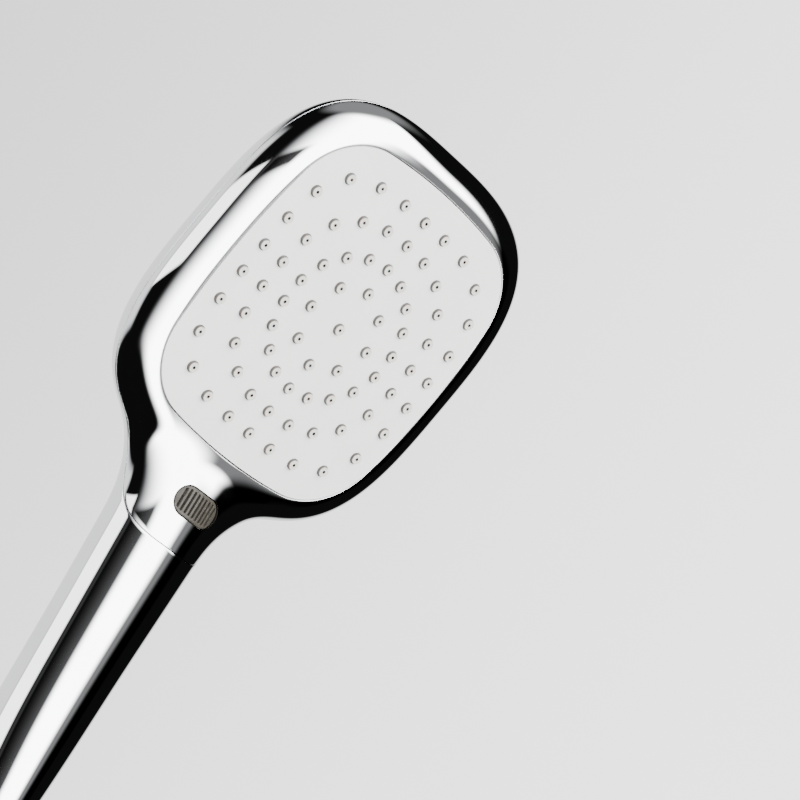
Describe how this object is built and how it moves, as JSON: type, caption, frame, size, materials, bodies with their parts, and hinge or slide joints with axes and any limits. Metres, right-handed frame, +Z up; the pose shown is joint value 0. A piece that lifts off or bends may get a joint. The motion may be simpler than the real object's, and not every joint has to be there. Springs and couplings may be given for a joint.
{
  "type": "handheld shower head",
  "caption": "Hand shower with a rounded-square spray head, oval handle, ribbed push button on the neck and a male inlet thread.",
  "frame": {"origin": "centre of the inlet thread's end face, at the foot of the handle", "axes": "+Z up the handle to the head, -Y to the spray side, +X to the right seen from the back"},
  "size_m": [0.1152, 0.0471, 0.2584],
  "materials": {
    "chrome_plate": "polished chrome plate on moulded plastic",
    "white_plate": "satin white moulded plastic",
    "nozzle_silicone": "translucent grey silicone",
    "button_grip": "grey ribbed button, metallised",
    "seal_rubber": "black seal rubber",
    "waterway_plastic": "natural grey moulded plastic",
    "valve_plastic": "blue-grey acetal",
    "cartridge_plastic": "off-white acetal",
    "spring_steel": "stainless spring wire",
    "screw_steel": "stainless steel",
    "inlet_chrome": "chrome plated brass",
    "filter_mesh": "stainless mesh in a moulded rim"
  },
  "bodies": {
    "shower": {"front_cover": "chrome_plate", "rear_housing": "chrome_plate", "spray_plate": "white_plate", "nozzle_mat": "nozzle_silicone", "face_gasket": "seal_rubber", "distributor": "waterway_plastic", "chassis_screws": "screw_steel", "waterway": "waterway_plastic", "port_gasket": "seal_rubber", "diverter_body": "waterway_plastic", "diverter_cap": "valve_plastic", "plunger_o_ring": "seal_rubber", "button_spring": "spring_steel", "water_tube": "waterway_plastic", "upper_tube_o_ring": "seal_rubber", "lower_tube_o_ring": "seal_rubber", "inlet_connector": "inlet_chrome", "connector_o_ring": "seal_rubber", "check_valve_cage": "cartridge_plastic", "check_valve_spring": "spring_steel", "flow_limiter": "cartridge_plastic", "inlet_filter": "filter_mesh"},
    "button": {"select_button": "button_grip", "button_plunger": "valve_plastic"},
    "rotor": {"diverter_rotor": "valve_plastic"},
    "poppet": {"check_valve_poppet": "valve_plastic"}
  },
  "joints": [
    {"name": "button_press", "type": "slide", "parent": "shower", "child": "button", "axis": [0, 1, 0], "range_m": [0, 0.002], "stiffness_N_per_m": 1500, "springref_m": -0.002, "deforming": ["button_spring"]},
    {"name": "rotor_index", "type": "hinge", "parent": "button", "child": "rotor", "pos_m": [0, 0.002, 0.1305], "axis": [0, 1, 0], "range_deg": [0, 60]},
    {"name": "check_valve_lift", "type": "slide", "parent": "shower", "child": "poppet", "axis": [0, 0, 1], "range_m": [0, 0.0018], "stiffness_N_per_m": 100, "springref_m": -0.002, "deforming": ["check_valve_spring"]}
  ],
  "couplings": [
    {"joint": "rotor_index", "follows": "button_press", "rad_per_m": 523}
  ]
}
